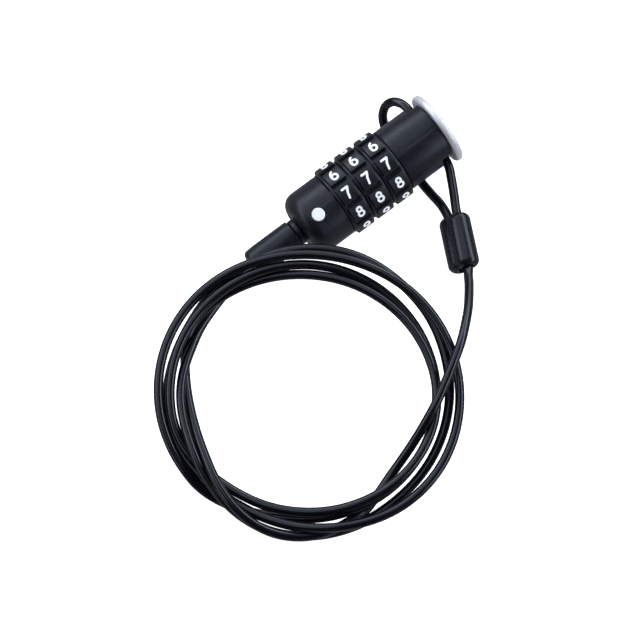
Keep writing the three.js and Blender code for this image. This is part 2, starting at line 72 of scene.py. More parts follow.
LOCK = placed(ALONG, ACROSS, INDEX, Vector(joints["dial_1_turn"]["pos_m"]))


def upright(along):
    """Frame whose X axis points to the index row, at a place along the lock."""
    return LOCK @ Matrix.Translation((along, 0, 0)) @ Matrix.Rotation(-math.pi / 2, 4, "Y")


# ---- Driving sizes ----
GAP = 0.3                    # clearance between neighbouring pieces
CABLE_R = 1.5
JACKET_R = 1.46              # a little less, so that the jacket stays inside the CAD model's box
CABLE_SIDES = 20

BODY_R = 10.55               # cap and front body
SEAM_ROUND = 0.25            # their edges beside the dials
CAP_LENGTH = 13.1
CAP_ROUND = 4.3              # rounding of the cap's end edge
CAP_BORE_R = 9.0
CAP_FLOOR = 3.0              # thickness of the cap's end wall
STUD_HOLE_R = 2.6            # in that wall, for the swivel stud

DIAL_COUNT = 3
FIRST_DIAL = CAP_LENGTH + GAP
DIAL_PITCH = 7.5
DIAL_WIDTH = DIAL_PITCH - GAP
DIAL_ROUND = 0.25
DIAL_BORE_R = 9.4
LUG_SLOT_R = 9.9             # floor of the slots for the code ring's lugs
LUG_SLOT_SHARE = 0.52        # part of the pitch that a slot fills
DIGIT_COUNT = 10
DIGIT_PITCH = TURN / DIGIT_COUNT
SHOWN_DIGIT = 7              # at the index row
PAD_R = 11.7                 # outer face of the raised digit pads
VALLEY_R = 10.7              # floor between the pads and at the dial's edges
PAD_START = 0.85             # from the dial's edge
PAD_END = PAD_START + 5.8
PAD_SHARE = 0.77             # part of the pitch that a pad fills
PAD_HALF_ANGLE = PAD_SHARE * DIGIT_PITCH / 2
PAD_WALL = 0.34              # width of a pad's sloping wall
NOTCH_START = 1.1
NOTCH_WIDTH = 0.9
NOTCH_WALL = 0.2
NOTCH_FLOOR_R = 10.2
NOTCH_AT = math.radians(16.8)   # from a pad's middle

FRONT_START = FIRST_DIAL + DIAL_COUNT * DIAL_PITCH
FRONT_END = FRONT_START + 15.7
FIN_RECESS_R = 8.8           # room in the front body for the last fin
FIN_RECESS_DEPTH = 3.4
CORE_SEAT_R = 6.9            # bore that the core sleeve sits in
CORE_SEAT_END = FRONT_START + 8.4
CHANNEL_START = FRONT_END - 4.2
CHANNEL_HALF = 5.4           # half its height

LINE_WIDTH = 0.3             # index line
LINE_DEPTH = 0.25
FRONT_LINE_LENGTH = 3.7
PARTING_WIDTH = 0.16         # faint groove round the cap beside the button
PARTING_DEPTH = 0.07

HEAD_R = 12.03
HEAD_START = FRONT_END + GAP
HEAD_END = HEAD_START + 2.4
SOCKET_R = 2.2               # the pin's socket in the head
SOCKET_FLOOR = 0.8           # what is left of the head behind it
PIN_START = 14.2
PIN_R = 1.9
PIN_BORE_R = PIN_R + 0.4
PIN_END = HEAD_END - SOCKET_FLOOR - GAP
FIN_START_R = 0.8            # inside the pin
FIN_R = 8.2
FIN_WIDTH = 1.4
FIN_LENGTH = 2.0
FIN_OFFSET = 0.9             # from a dial's edge to its fin

BUTTON_AT = 6.1              # along the lock
BUTTON_R = 2.05
BUTTON_TOP = 10.65
BUTTON_HOLE_R = 2.2
BUTTON_HOLE_FLOOR = 6.6
BUTTON_HOLE_FLARE = 0.18
FLANGE_R = 2.8               # keeps the button in the cap
FLANGE_BOTTOM = 7.2
FLANGE_TOP = 8.15

DETENT_OFFSET = 5.3          # from a dial's edge to its detent spring
DETENT_COIL = (0.75, 0.1, -4.7, -3.15, 6)    # radius, wire radius, bottom, top and turns
RESET_COIL = (1.2, 0.15, 4.9, 7.1, 5)
WIRE_SIDES = 8

COLLAR_START = -2.0
COLLAR_END = -GAP
COLLAR_R = 4.25
RELIEF_START = -18.6         # where the cable comes out of the strain relief
RELIEF_END = COLLAR_START - GAP
RELIEF_R = 4.7
RELIEF_TIP_R = 4.45
RELIEF_TAPER = 3.6           # length over which it narrows to its tip
RELIEF_HOLE_R = 1.8
RELIEF_MOUTH_R = 1.62        # the hole's outer end
RELIEF_CAVITY_START = -9.9   # room for the crimp
RELIEF_CAVITY_R = 3.3

FERRULE_CENTRE = Vector((20.8, -31.74, 6.2))
FERRULE_YAW = math.radians(64)
FERRULE_ROLL = math.radians(48)
FERRULE_HALF = 8.9           # half its length
FERRULE_ROUND = 2.3
LOBE_R = 3.7
LOBE_SPACING = 3.3           # between the two strands
LOBE_BLEND = 0.9             # how soft the crease between the lobes is

# ---- Camera ----
CAMERA_TARGET = Vector((-29.59, -25.62, 5.0)) * MM
CAMERA_AZIMUTH = math.radians(-36.8)
CAMERA_ELEVATION = math.radians(71.5)
CAMERA_DISTANCE = 1.0        # metres
CAMERA_LENS = 183.9
SENSOR_WIDTH = 36

towards_camera = Vector((
    math.sin(CAMERA_AZIMUTH) * math.cos(CAMERA_ELEVATION),
    -math.cos(CAMERA_AZIMUTH) * math.cos(CAMERA_ELEVATION),
    math.sin(CAMERA_ELEVATION),
))
camera_right = Vector((math.cos(CAMERA_AZIMUTH), math.sin(CAMERA_AZIMUTH), 0))
camera_up = towards_camera.cross(camera_right)


def add_camera():
    camera = bpy.data.objects.new("camera", bpy.data.cameras.new("camera"))
    camera.data.lens = CAMERA_LENS
    camera.data.sensor_width = SENSOR_WIDTH
    camera.data.clip_start = 0.05
    camera.data.clip_end = 20
    camera.location = CAMERA_TARGET + towards_camera * CAMERA_DISTANCE
    camera.rotation_mode = "QUATERNION"
    camera.rotation_quaternion = (-towards_camera).to_track_quat("-Z", "Y")
    bpy.context.scene.collection.objects.link(camera)
    bpy.context.scene.camera = camera


add_camera()

# ---- Route of the cable ----
LEAD_ROUTE = [
    (-24.6, 0, 9.85), (-30.5, 0, 9.33), (-36.4, 0, 8.82), (-39.6, -0.35, 8.55), (-43.4, -0.9, 8.3),
    (-48.9, -2.4, 8.0), (-55.6, -4.5, 7.9), (-61.4, -7.0, 8.3),
]
TAIL_ROUTE = [
    (-41.2, -77.4, 4.0), (-34.8, -75.7, 7.0), (-29.6, -74.2, 10.2), (-24.2, -72.3, 13.3),
    (-18.7, -69.9, 15.4), (-13.4, -67.0, 16.8), (-8.0, -63.8, 17.7), (-2.5, -60.2, 17.6),
    (2.2, -56.3, 16.1), (6.8, -52.0, 13.8), (10.6, -47.7, 11.0), (13.5, -44.1, 8.5),
    (15.2, -41.7, 7.1), (17.0, -39.4, 6.35), (18.6, -36.2, 6.2), (20.7, -32.0, 6.2),
]
EYE_ROUTE = [
    (20.95, -31.45, 6.2), (22.8, -27.7, 6.2), (24.6, -23.9, 6.2), (25.85, -21.45, 6.3),
    (27.45, -18.7, 6.65), (28.9, -16.05, 7.1), (30.3, -13.3, 7.65), (31.5, -10.8, 8.3),
    (32.1, -8.0, 9.0), (32.05, -4.5, 9.9), (31.9, 0.9, 11.25), (31.75, 6.2, 12.55),
    (31.8, 10.1, 13.5), (31.5, 13.5, 13.0), (30.15, 16.35, 11.3), (28.35, 17.4, 9.05),
    (26.75, 16.85, 6.55), (25.8, 15.6, 4.65), (24.95, 12.75, 2.4), (24.45, 9.15, 1.6),
    (24.1, 3.4, 1.56), (23.75, -2.6, 1.56), (23.45, -8.1, 1.56), (23.5, -12.6, 1.9),
    (23.5, -16.95, 2.8), (23.0, -20.4, 3.35), (22.05, -23.9, 3.65), (20.65, -27.0, 3.75),
    (19.1, -30.15, 3.75),
]
COIL_CENTRE = Vector((-47.0, -43.9, 10.8))
COIL_YAW = math.radians(-36.8)
COIL_TILT = math.radians(10)
COIL_SQUASH = 0.965          # the coil is a little narrower across its tilt
COIL_STEP = 5                # degrees between two points of the coil
COIL_GAP = 2 * CABLE_R + 0.03    # between the middles of two strands that touch
LEAD_GAP = 2                 # degrees left free for the curve into the coil's first lane
TAIL_GAP = 4                 # and out of its last one
LOWEST_STRAND = 1.56         # height of a strand's middle where it lies on the floor
LINE_STEP = 1.0              # between two points of the finished line

# How each turn lies in the bunch: (degrees round the coil, radius, height above the coil's plane).
COIL_LANES = [
    # The first turn comes up from under the others, crosses over them and goes under again.
    (158, 38.8, -3.6), (166, 38.8, -2.4), (173, 39.0, -1.5), (181, 39.1, -0.8), (198, 39.0, 1.0),
    (209, 39.5, 2.6), (223, 41.3, 4.0), (237, 43.2, 3.2), (252, 45.1, 0.6), (270, 44.8, -1.6),
    (287, 43.6, -2.6), (303, 42.5, -2.2), (330, 42.0, -0.5), (360, 42.1, 0), (380, 42.6, 0),
    (395, 43.6, -0.8), (410, 44.2, -1.4), (430, 45.8, -1.2), (450, 46.1, -1.0),
    # The second turn.
    (475, 45.0, -1.4), (492, 43.6, -1.7), (508, 42.4, -2.1), (530, 42.8, -2.1), (548, 43.7, -1.6),
    (565, 43.2, -1.4), (583, 42.0, -1.2), (600, 41.2, -0.6), (612, 41.6, 0.2), (630, 42.7, 1.0),
    (647, 43.6, 3.0), (665, 45.0, 1.6), (685, 45.7, 0.6), (720, 45.1, 0.6), (745, 44.5, 0.8),
    (765, 44.0, 1.6), (785, 43.5, 1.4), (810, 43.5, 1.4),
    # The third turn changes from the outside to the inside, under the second.
    (835, 44.6, 1.6), (855, 45.6, 1.4), (900, 45.8, 1.2), (930, 44.9, 0), (945, 44.0, -1.4),
    (957, 42.2, -2.4), (970, 40.3, -2.4), (986, 39.4, -1.7), (1007, 39.1, 0.1), (1020, 38.7, 0.4),
    (1040, 38.4, -1.0), (1080, 38.2, -1.6), (1100, 38.1, -1.6), (1117, 38.4, -1.4), (1136, 39.0, -1.0),
    (1151, 39.7, -0.4), (1174, 40.7, 0.2),
    # The fourth turn.
    (1195, 41.3, 0.4), (1215, 41.8, 0.2), (1260, 42.25, 0.6), (1277, 42.2, 0), (1295, 40.2, -0.8),
    (1311, 38.4, -0.6), (1330, 37.9, 0.8), (1346, 37.6, 1.4), (1365, 37.8, 3.0), (1380, 38.0, 3.2),
    (1400, 38.4, 2.0), (1440, 38.2, 1.4), (1460, 37.3, 1.2), (1477, 36.8, 1.0), (1495, 36.5, 0.6),
    (1510, 36.7, 0.4), (1534, 37.6, 0.2),
    # The last half turn goes under the first, over the bunch, and under it again.
    (1553, 39.1, 0), (1570, 40.8, -1.2), (1580, 42.0, -2.9), (1590, 42.2, -4.6), (1595, 41.8, -5.2),
    (1600, 40.5, -5.6), (1606, 38.9, -5.7), (1613, 37.8, -5.0), (1620, 36.9, -3.8), (1632, 36.1, -1.2),
    (1646, 36.6, 2.2), (1654, 37.6, 3.8), (1665, 39.7, 4.8), (1679, 43.0, 4.4), (1692, 45.6, 3.2),
    (1701, 46.0, 2.0), (1710, 45.3, 1.0), (1720, 43.5, 0.4), (1725, 42.4, 0.1), (1730, 41.2, -0.9),
    (1735, 40.1, -2.2), (1740, 38.8, -2.9),
]


def eased(keys, at):
    """Values at the places at, on a smooth curve through keys, each one (place, value, ...)."""
    places = np.array([key[0] for key in keys], float)
    values = np.array([key[1:] for key in keys], float)
    slopes = np.gradient(values, places, axis=0)
    i = np.clip(np.searchsorted(places, at) - 1, 0, len(places) - 2)
    width = (places[i + 1] - places[i])[:, None]
    u = ((at - places[i]) / (places[i + 1] - places[i]))[:, None]
    start = (2 * u**3 - 3 * u**2 + 1) * values[i] + (u**3 - 2 * u**2 + u) * width * slopes[i]
    end = (3 * u**2 - 2 * u**3) * values[i + 1] + (u**3 - u**2) * width * slopes[i + 1]
    return start + end


def settled(angles, lanes, rounds=400):
    """Lanes moved, mostly up and down, until turns that press on each other hardly do so."""
    sideways, push_share, stiffness, pull_back = 0.35, 0.6, 0.125, 0.05
    lanes, wanted = lanes.copy(), lanes.copy()
    one_turn = round(360 / COIL_STEP)
    lean = COIL_SQUASH * math.sin(COIL_TILT) * np.sin(np.radians(angles))
    for _ in range(rounds):
        push = np.zeros_like(lanes)
        for apart in range(one_turn, len(lanes), one_turn):
            gap = lanes[apart:] - lanes[:-apart]
            distance = np.maximum(np.hypot(gap[:, 0], gap[:, 1]), 1e-6)
            lack = np.clip(COIL_GAP - distance, 0, None)
            move = gap / distance[:, None] * (sideways, 1) * lack[:, None] / 2
            push[apart:] += move
            push[:-apart] -= move
        lanes += push_share * push
        lanes[1:-1] += stiffness * ((lanes[:-2] + lanes[2:]) / 2 - lanes[1:-1])
        lanes[:, 0] += pull_back * (wanted[:, 0] - lanes[:, 0])
        lanes[0], lanes[-1] = wanted[0], wanted[-1]
        height = COIL_CENTRE.z + lanes[:, 0] * lean + lanes[:, 1] * math.cos(COIL_TILT)
        lanes[:, 1] += np.clip(LOWEST_STRAND - height, 0, None)
    return lanes


def coil_points():
    """The cable's middle line round the coil's turns."""
    first, last = COIL_LANES[0][0] + LEAD_GAP, COIL_LANES[-1][0] - TAIL_GAP
    angles = np.arange(first, last, COIL_STEP, dtype=float)
    lanes = settled(angles, eased(COIL_LANES, angles))
    frame_turn = Matrix.Rotation(COIL_YAW, 3, "Z") @ Matrix.Rotation(COIL_TILT, 3, "X")
    points = []
    for angle, (radius, height) in zip(np.radians(angles), lanes):
        flat = (radius * math.cos(angle), radius * COIL_SQUASH * math.sin(angle), height)
        points.append(COIL_CENTRE + frame_turn @ Vector(flat))
    return points


def smooth_line(points, step):
    """Points a step apart on a centripetal Catmull-Rom curve through the given ones."""
    points = [Vector(p) for p in points]
    points = [2 * points[0] - points[1], *points, 2 * points[-1] - points[-2]]
    line = []
    for p0, p1, p2, p3 in zip(points, points[1:], points[2:], points[3:]):
        t1 = (p1 - p0).length ** 0.5
        t2 = t1 + (p2 - p1).length ** 0.5
        t3 = t2 + (p3 - p2).length ** 0.5
        count = max(1, round((p2 - p1).length / step))
        for i in range(count):
            t = t1 + (t2 - t1) * i / count
            a1 = p0.lerp(p1, t / t1)
            a2 = p1.lerp(p2, (t - t1) / (t2 - t1))
            a3 = p2.lerp(p3, (t - t2) / (t3 - t2))
            b1 = a1.lerp(a2, t / t2)
            b2 = a2.lerp(a3, (t - t1) / (t3 - t1))
            line.append(b1.lerp(b2, (t - t1) / (t2 - t1)))
    return [*line, points[-2]]


cable_line = smooth_line([*LEAD_ROUTE, *coil_points(), *TAIL_ROUTE, *EYE_ROUTE], LINE_STEP)


# ---- Materials ----
class Nodes:
    """A material's node tree, with a short way to add and link nodes."""

    def __init__(self, name):
        self.material = bpy.data.materials.new(name)
        self.material.use_nodes = True
        self.tree = self.material.node_tree
        self.shader = self.tree.nodes["Principled BSDF"]
        self.place = self.add("ShaderNodeTexCoord").outputs["Object"]

    def add(self, kind, **settings):
        node = self.tree.nodes.new(kind)
        for key, value in settings.items():
            setattr(node, key, value)
        return node

    def link(self, source, target):
        self.tree.links.new(source, target)

    def noise(self, size_mm, detail=3.0, roughness=0.5, stretch=(1, 1, 1)):
        """Noise whose features are about size_mm across."""
        mapping = self.add("ShaderNodeMapping")
        mapping.inputs["Scale"].default_value = [s / (size_mm * MM) for s in stretch]
        self.link(self.place, mapping.inputs["Vector"])
        noise = self.add("ShaderNodeTexNoise")
        noise.inputs["Scale"].default_value = 1.0
        noise.inputs["Detail"].default_value = detail
        noise.inputs["Roughness"].default_value = roughness
        self.link(mapping.outputs["Vector"], noise.inputs["Vector"])
        return noise.outputs["Fac"]

    def ranged(self, value, low, high, start=0.3, end=0.7):
        """The value's start to end range turned into low to high."""
        node = self.add("ShaderNodeMapRange")
        node.inputs["From Min"].default_value = start
        node.inputs["From Max"].default_value = end
        node.inputs["To Min"].default_value = low
        node.inputs["To Max"].default_value = high
        self.link(value, node.inputs["Value"])
        return node.outputs["Result"]

    def blended(self, amount, first, second):
        """Colour between two colours."""
        node = self.add("ShaderNodeMix", data_type="RGBA")
        self.link(amount, node.inputs["Factor"])
        for socket, colour in ((node.inputs["A"], first), (node.inputs["B"], second)):
            if isinstance(colour, tuple):
                socket.default_value = (*colour, 1)
            else:
                self.link(colour, socket)
        return node.outputs["Result"]

    def bump(self, height, depth_mm, normal=None):
        node = self.add("ShaderNodeBump")
        node.inputs["Distance"].default_value = depth_mm * MM
        self.link(height, node.inputs["Height"])
        if normal is not None:
            self.link(normal, node.inputs["Normal"])
        return node.outputs["Normal"]

    def edges(self, low=0.52, high=0.62):
        """1 on outer edges and 0 on faces."""
        return self.ranged(self.add("ShaderNodeNewGeometry").outputs["Pointiness"], 0, 1, low, high)

    def surface(self, colour=None, roughness=None, normal=None, **fixed):
        for name, value in (("Base Color", colour), ("Roughness", roughness), ("Normal", normal)):
            if value is not None:
                self.link(value, self.shader.inputs[name])
        for name, value in fixed.items():
            self.shader.inputs[name.replace("_", " ")].default_value = value
        return self.material


BLUE_BLACK = (0.82, 0.86, 1.0, 1)       # tint of the light that black plastic throws back
PLASTIC_DARK = (0.004, 0.0045, 0.007)
PLASTIC_LIGHT = (0.006, 0.007, 0.010)
EDGE_WEAR_AND_HIGHLIGHT = 2.2                      # how much lighter an outer edge is: rubbed wear plus a painted edge highlight


def moulded_plastic(name, rough, light=PLASTIC_LIGHT, grain_mm=0.16, depth_mm=0.012):
    """Fine spark-eroded texture, faint flow marks, and outer edges lighter: partly rubbed wear, partly
    a painted edge highlight.
    """
    nodes = Nodes(name)
    flow = nodes.noise(3.5, detail=2)
    grain = nodes.noise(grain_mm, detail=2)
    base = nodes.blended(nodes.ranged(flow, 0, 1), PLASTIC_DARK, light)
    # Outer edges painted lighter: partly rubbed wear, partly a painted highlight where light catches
    # the edges.
    worn_and_highlit = nodes.blended(nodes.edges(), base, tuple(EDGE_WEAR_AND_HIGHLIGHT * c for c in light))
    roughness = nodes.ranged(nodes.noise(1.2, detail=4), rough - 0.05, rough + 0.05)
    fine = nodes.bump(grain, depth_mm)
    normal = nodes.bump(flow, 0.02, fine)
    return nodes.surface(worn_and_highlit, roughness, normal, IOR=1.46, Specular_Tint=BLUE_BLACK)


def vinyl_jacket():
    """Glossy extruded vinyl: faint waves from the lay of the wire, and slightly uneven gloss."""
    nodes = Nodes("black_vinyl")
    waves = nodes.noise(7, detail=1)
    colour = nodes.blended(nodes.ranged(waves, 0, 1), (0.002, 0.002, 0.003), (0.004, 0.004, 0.006))
    roughness = nodes.ranged(nodes.noise(2.5, detail=2), 0.17, 0.23)
    return nodes.surface(colour, roughness, nodes.bump(waves, 0.03), IOR=1.52, Specular_Tint=BLUE_BLACK)


def satin_silver():
    """Tumbled and plated zinc: fine grain in all directions with soft cloudy patches."""
    nodes = Nodes("satin_silver")
    grain = nodes.noise(0.12, detail=3)
    clouds = nodes.noise(2.5, detail=3)
    colour = nodes.blended(nodes.ranged(clouds, 0, 1), (0.66, 0.66, 0.71), (0.74, 0.74, 0.79))
    roughness = nodes.ranged(grain, 0.42, 0.56)
    return nodes.surface(colour, roughness, nodes.bump(grain, 0.01), Metallic=0.7)


def machined(name, first, second, rough=0.3):
    """Turned metal: fine tool lines across the lock's length and slight discolouring."""
    nodes = Nodes(name)
    lines = nodes.noise(0.25, detail=3, stretch=(6, 1, 1))
    stain = nodes.noise(2.0, detail=3)
    colour = nodes.blended(nodes.ranged(stain, 0, 1), first, second)
    roughness = nodes.ranged(lines, rough - 0.08, rough + 0.1)
    return nodes.surface(colour, roughness, nodes.bump(lines, 0.008), Metallic=1.0)


def white_finish(name, dark, light, rough, depth_mm):
    """White paint or plastic with a fine grain and uneven gloss."""
    nodes = Nodes(name)
    grain = nodes.noise(0.3, detail=3)
    colour = nodes.blended(nodes.ranged(grain, 0, 1), dark, light)
    roughness = nodes.ranged(nodes.noise(0.8, detail=2), rough - 0.06, rough + 0.06)
    return nodes.surface(colour, roughness, nodes.bump(grain, depth_mm), IOR=1.5)


BODY_PLASTIC = moulded_plastic("body_plastic", 0.37, light=(0.006, 0.0065, 0.010))
DIAL_PLASTIC = moulded_plastic("dial_plastic", 0.36)
RELIEF_PLASTIC = moulded_plastic("relief_plastic", 0.38, grain_mm=0.22)
FERRULE_PLASTIC = moulded_plastic("ferrule_plastic", 0.27, depth_mm=0.005)
VINYL = vinyl_jacket()
SILVER = satin_silver()
STEEL = machined("machined_steel", (0.42, 0.42, 0.43), (0.55, 0.55, 0.56))
BLACK_STEEL = machined("blackened_steel", (0.02, 0.02, 0.022), (0.03, 0.03, 0.032), rough=0.45)
BRASS = machined("machined_brass", (0.55, 0.40, 0.16), (0.66, 0.50, 0.23))
DIE_CAST = machined("die_cast_zinc", (0.40, 0.40, 0.42), (0.50, 0.50, 0.52), rough=0.42)
NUMERAL_WHITE = white_finish("numeral_white", (0.82, 0.83, 0.86), (0.9, 0.91, 0.93), 0.5, 0.01)
BUTTON_WHITE = white_finish("button_white", (0.70, 0.71, 0.75), (0.84, 0.85, 0.88), 0.42, 0.03)


# ---- Mesh helpers ----
def new_object(name, points, faces, place=LOCK):
    """A mesh object with outward faces. Its points are in millimetres in the frame of place."""
    mesh = bpy.data.meshes.new(name)
    mesh.from_pydata([place @ Vector(p) for p in points], [], faces)
    edit = bmesh.new()
    edit.from_mesh(mesh)
    bmesh.ops.recalc_face_normals(edit, faces=edit.faces)
    edit.to_mesh(mesh)
    edit.free()
    obj = bpy.data.objects.new(name, mesh)
    bpy.context.scene.collection.objects.link(obj)
    return obj


def baked(obj):
    """The object with its modifiers applied."""
    shown = obj.evaluated_get(bpy.context.evaluated_depsgraph_get())
    mesh = bpy.data.meshes.new_from_object(shown)
    obj.modifiers.clear()
    obj.data = mesh
    return obj


def boolean(obj, operation, *tools):
    """The object joined with or cut by the tools, which are used up."""
    for tool in tools:
        step = obj.modifiers.new("boolean", "BOOLEAN")
        step.operation = operation
        step.solver = "EXACT"
        step.object = tool
    baked(obj)
    for tool in tools:
        bpy.data.objects.remove(tool)
    return obj


def softened(obj, width_mm, segments=2, angle=35):
    """Edges sharper than the angle get a small round."""
    bevel = obj.modifiers.new("bevel", "BEVEL")
    bevel.width = width_mm * MM
    bevel.segments = segments
    bevel.limit_method = "ANGLE"
    bevel.angle_limit = math.radians(angle)
    bevel.use_clamp_overlap = True
    return baked(obj)


def dressed(obj, material, body, slot, *nodes, sharp=38):
    """Shading, material, body and the CAD nodes that the object stands for. The slot is not used."""
    obj.data.materials.clear()
    obj.data.materials.append(material)
    obj.data.shade_smooth()
    obj.data.set_sharp_from_angle(angle=math.radians(sharp))
    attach(obj, body)
    if nodes:
        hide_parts(*nodes)
    return obj


def filleted(corners, steps=5):
    """Closed profile through (along, radius, fillet) corners, each one rounded by its fillet."""
    profile = []
    for i, (along, radius, fillet) in enumerate(corners):
        corner = Vector((along, radius))
        if not fillet:
            profile.append(corner)
            continue
        to_last = (Vector(corners[i - 1][:2]) - corner).normalized()
        to_next = (Vector(corners[(i + 1) % len(corners)][:2]) - corner).normalized()
        half = math.acos(max(-1.0, min(1.0, to_last.dot(to_next)))) / 2
        middle = corner + (to_last + to_next).normalized() * (fillet / math.sin(half))
        start = corner + to_last * (fillet / math.tan(half)) - middle
        end = corner + to_next * (fillet / math.tan(half)) - middle
        sweep = math.pi - 2 * half
        turn = math.copysign(sweep, start.x * end.y - start.y * end.x)
        for k in range(steps + 1):
            a = turn * k / steps
            profile.append(middle + Vector((
                start.x * math.cos(a) - start.y * math.sin(a),
                start.x * math.sin(a) + start.y * math.cos(a),
            )))
    return profile


def ring_point(along, radius, angle):
    """Point in the lock frame."""
    return along, -radius * math.sin(angle), radius * math.cos(angle)


def turned(name, corners, place=LOCK, steps=144, fillet_steps=5):
    """Body of revolution about the X axis, from a closed profile of (along, radius, fillet)."""
    points, rings, faces = [], [], []
    for along, radius in filleted(corners, fillet_steps):
        count = steps if radius > 1e-6 else 1
        rings.append(range(len(points), len(points) + count))
        points += [ring_point(along, radius, TURN * k / count) for k in range(count)]
    for ring, following in zip(rings, [*rings[1:], rings[0]]):
        for k in range(steps):
            quad = [ring[k % len(ring)], ring[(k + 1) % len(ring)],
                    following[(k + 1) % len(following)], following[k % len(following)]]
            face = list(dict.fromkeys(quad))
            if len(face) > 2:
                faces.append(face)
    return new_object(name, points, faces, place)


def block(name, low, high, place=LOCK, round_mm=0.0, segments=3):
    """Box between two corners, with rounded edges."""
    points = [(x, y, z) for x in (low[0], high[0]) for y in (low[1], high[1])
              for z in (low[2], high[2])]
    faces = [(0, 1, 3, 2), (4, 6, 7, 5), (0, 4, 5, 1), (2, 3, 7, 6), (0, 2, 6, 4), (1, 5, 7, 3)]
    box = new_object(name, points, faces, place)
    return softened(box, round_mm, segments) if round_mm else box


def skinned(name, rings, place=LOCK, closed=False):
    """Surface over rings of equally many points: joined end to end if closed, or else capped."""
    count = len(rings[0])
    points = [point for ring in rings for point in ring]
    faces = []
    for i in range(len(rings) if closed else len(rings) - 1):
        here, there = i * count, (i + 1) % len(rings) * count
        for k in range(count):
            k2 = (k + 1) % count
            faces.append((here + k, here + k2, there + k2, there + k))
    if not closed:
        faces.append(tuple(range(count)))
        faces.append(tuple(range(len(points) - count, len(points))))
    return new_object(name, points, faces, place)


def circle(centre, across, up, radius, sides):
    """Points round a centre, in the plane of two directions."""
    turns = [TURN * k / sides for k in range(sides)]
    return [centre + radius * (across * math.cos(a) + up * math.sin(a)) for a in turns]


def dome(ring, centre, out, height):
    """Rings that round off a tube's end, from its last ring outwards."""
    angles = [math.radians(a) for a in (20, 45, 70)]
    return [[centre + (p - centre) * math.cos(a) + out * (height * math.sin(a)) for p in ring]
            for a in angles]


def tube(name, line, radius, sides, place):
    """Closed round tube along a line of points, with rounded ends. Works in the line's units."""
    line = [Vector(p) for p in line]
    tangents = [(b - a).normalized() for a, b in zip([line[0], *line[:-1]], [*line[1:], line[-1]])]
    across = tangents[0].orthogonal().normalized()
    rings = []
    for point, tangent in zip(line, tangents):
        across = (across - tangent * across.dot(tangent)).normalized()
        rings.append(circle(point, across, tangent.cross(across), radius, sides))
    start = dome(rings[0], line[0], -tangents[0], radius / 2)
    end = dome(rings[-1], line[-1], tangents[-1], radius / 2)
    return skinned(name, [*reversed(start), *rings, *end], place)


# ---- Cable ----
def cable(line):
    """The vinyl jacket, along the cable's middle line in metres."""
    piece = tube("cable", line, JACKET_R * MM, CABLE_SIDES, Matrix.Identity(4))
    return dressed(piece, VINYL, "lock_body", "cable_jacket",
                   "cable_lead", "cable_coil", "cable_tail", "cable_eye")


# ---- Casing ----
def button_hole_cutter():
    """Cutter for the button's hole, with a flared mouth just under the surface."""
    mouth, top = BODY_R + 0.02, BODY_R + 1
    mouth_r = BUTTON_HOLE_R + BUTTON_HOLE_FLARE + 0.1
    return turned("button_hole", [
        (BUTTON_HOLE_FLOOR, 0, 0), (BUTTON_HOLE_FLOOR, BUTTON_HOLE_R, 0),
        (mouth - BUTTON_HOLE_FLARE, BUTTON_HOLE_R, 0.4), (mouth + 0.1, mouth_r, 0),
        (top, mouth_r, 0), (top, 0, 0),
    ], upright(BUTTON_AT), 64)


def line_cutter(name, start, end):
    """Cutter for an index line with a round bottom."""
    half = LINE_WIDTH / 2
    return block(name, (start, -half, BODY_R - LINE_DEPTH), (end, half, BODY_R + 1), round_mm=0.12)


def groove_cutter(name, along, width, depth, start, end, steps=24):
    """Cutter for a V-shaped groove round the body, between two angles in degrees."""
    low_r, high_r = BODY_R - depth, BODY_R + 0.3
    rings = []
    for k in range(steps + 1):
        angle = math.radians(start + (end - start) * k / steps)
        rings.append([ring_point(along - width / 2, high_r, angle), ring_point(along, low_r, angle),
                      ring_point(along + width / 2, high_r, angle)])
    return skinned(name, rings)


def rear_cap():
    cap = turned("rear_cap_shell", [
        (0, STUD_HOLE_R, 0.3), (0, BODY_R, CAP_ROUND), (CAP_LENGTH, BODY_R, SEAM_ROUND),
        (CAP_LENGTH, CAP_BORE_R, 0.2), (CAP_FLOOR, CAP_BORE_R, 0.8), (CAP_FLOOR, STUD_HOLE_R, 0.3),
    ], steps=192, fillet_steps=14)
    cutters = [
        button_hole_cutter(),
        line_cutter("cap_line", BUTTON_AT + 1, CAP_LENGTH + 1),
        groove_cutter("parting", BUTTON_AT + 1.2, PARTING_WIDTH, PARTING_DEPTH, 8, 75),
    ]
    boolean(cap, "DIFFERENCE", *cutters)
    return dressed(cap, BODY_PLASTIC, "lock_body", "black_moulding", "rear_cap")


def front_body():
    recess_end = FRONT_START + FIN_RECESS_DEPTH
    body = turned("front_body_shell", [
        (FRONT_START, FIN_RECESS_R, 0.2), (FRONT_START, BODY_R, SEAM_ROUND), (FRONT_END, BODY_R, 0.35),
        (FRONT_END, PIN_BORE_R, 0.2), (CORE_SEAT_END, PIN_BORE_R, 0), (CORE_SEAT_END, CORE_SEAT_R, 0),
        (recess_end, CORE_SEAT_R, 0.2), (recess_end, FIN_RECESS_R, 0.3),
    ], steps=192)
    past = 4                 # how far the channel's cutter goes past the body
    channel = block("channel", (CHANNEL_START, -BODY_R - past, -CHANNEL_HALF),
                    (FRONT_END + past, BODY_R + past, CHANNEL_HALF), round_mm=0.7, segments=5)
    line = line_cutter("front_line", FRONT_START - 1, FRONT_START + FRONT_LINE_LENGTH)
    boolean(body, "DIFFERENCE", channel, line)
    softened(body, 0.14, segments=3, angle=50)
    return dressed(body, BODY_PLASTIC, "lock_body", "black_moulding", "front_body")


# ---- Dials ----
def smooth_step(x, edge, width):
    """0 below the edge and 1 above it, with a rounded wall of that width."""
    t = min(1.0, max(0.0, (x - edge) / width + 0.5))
    return t * t * (3 - 2 * t)


# Places across a sloping wall, as shares of its width from its middle.
WALL_SAMPLES = [-0.42, -0.25, -0.1, 0.05, 0.2, 0.36, 0.5]


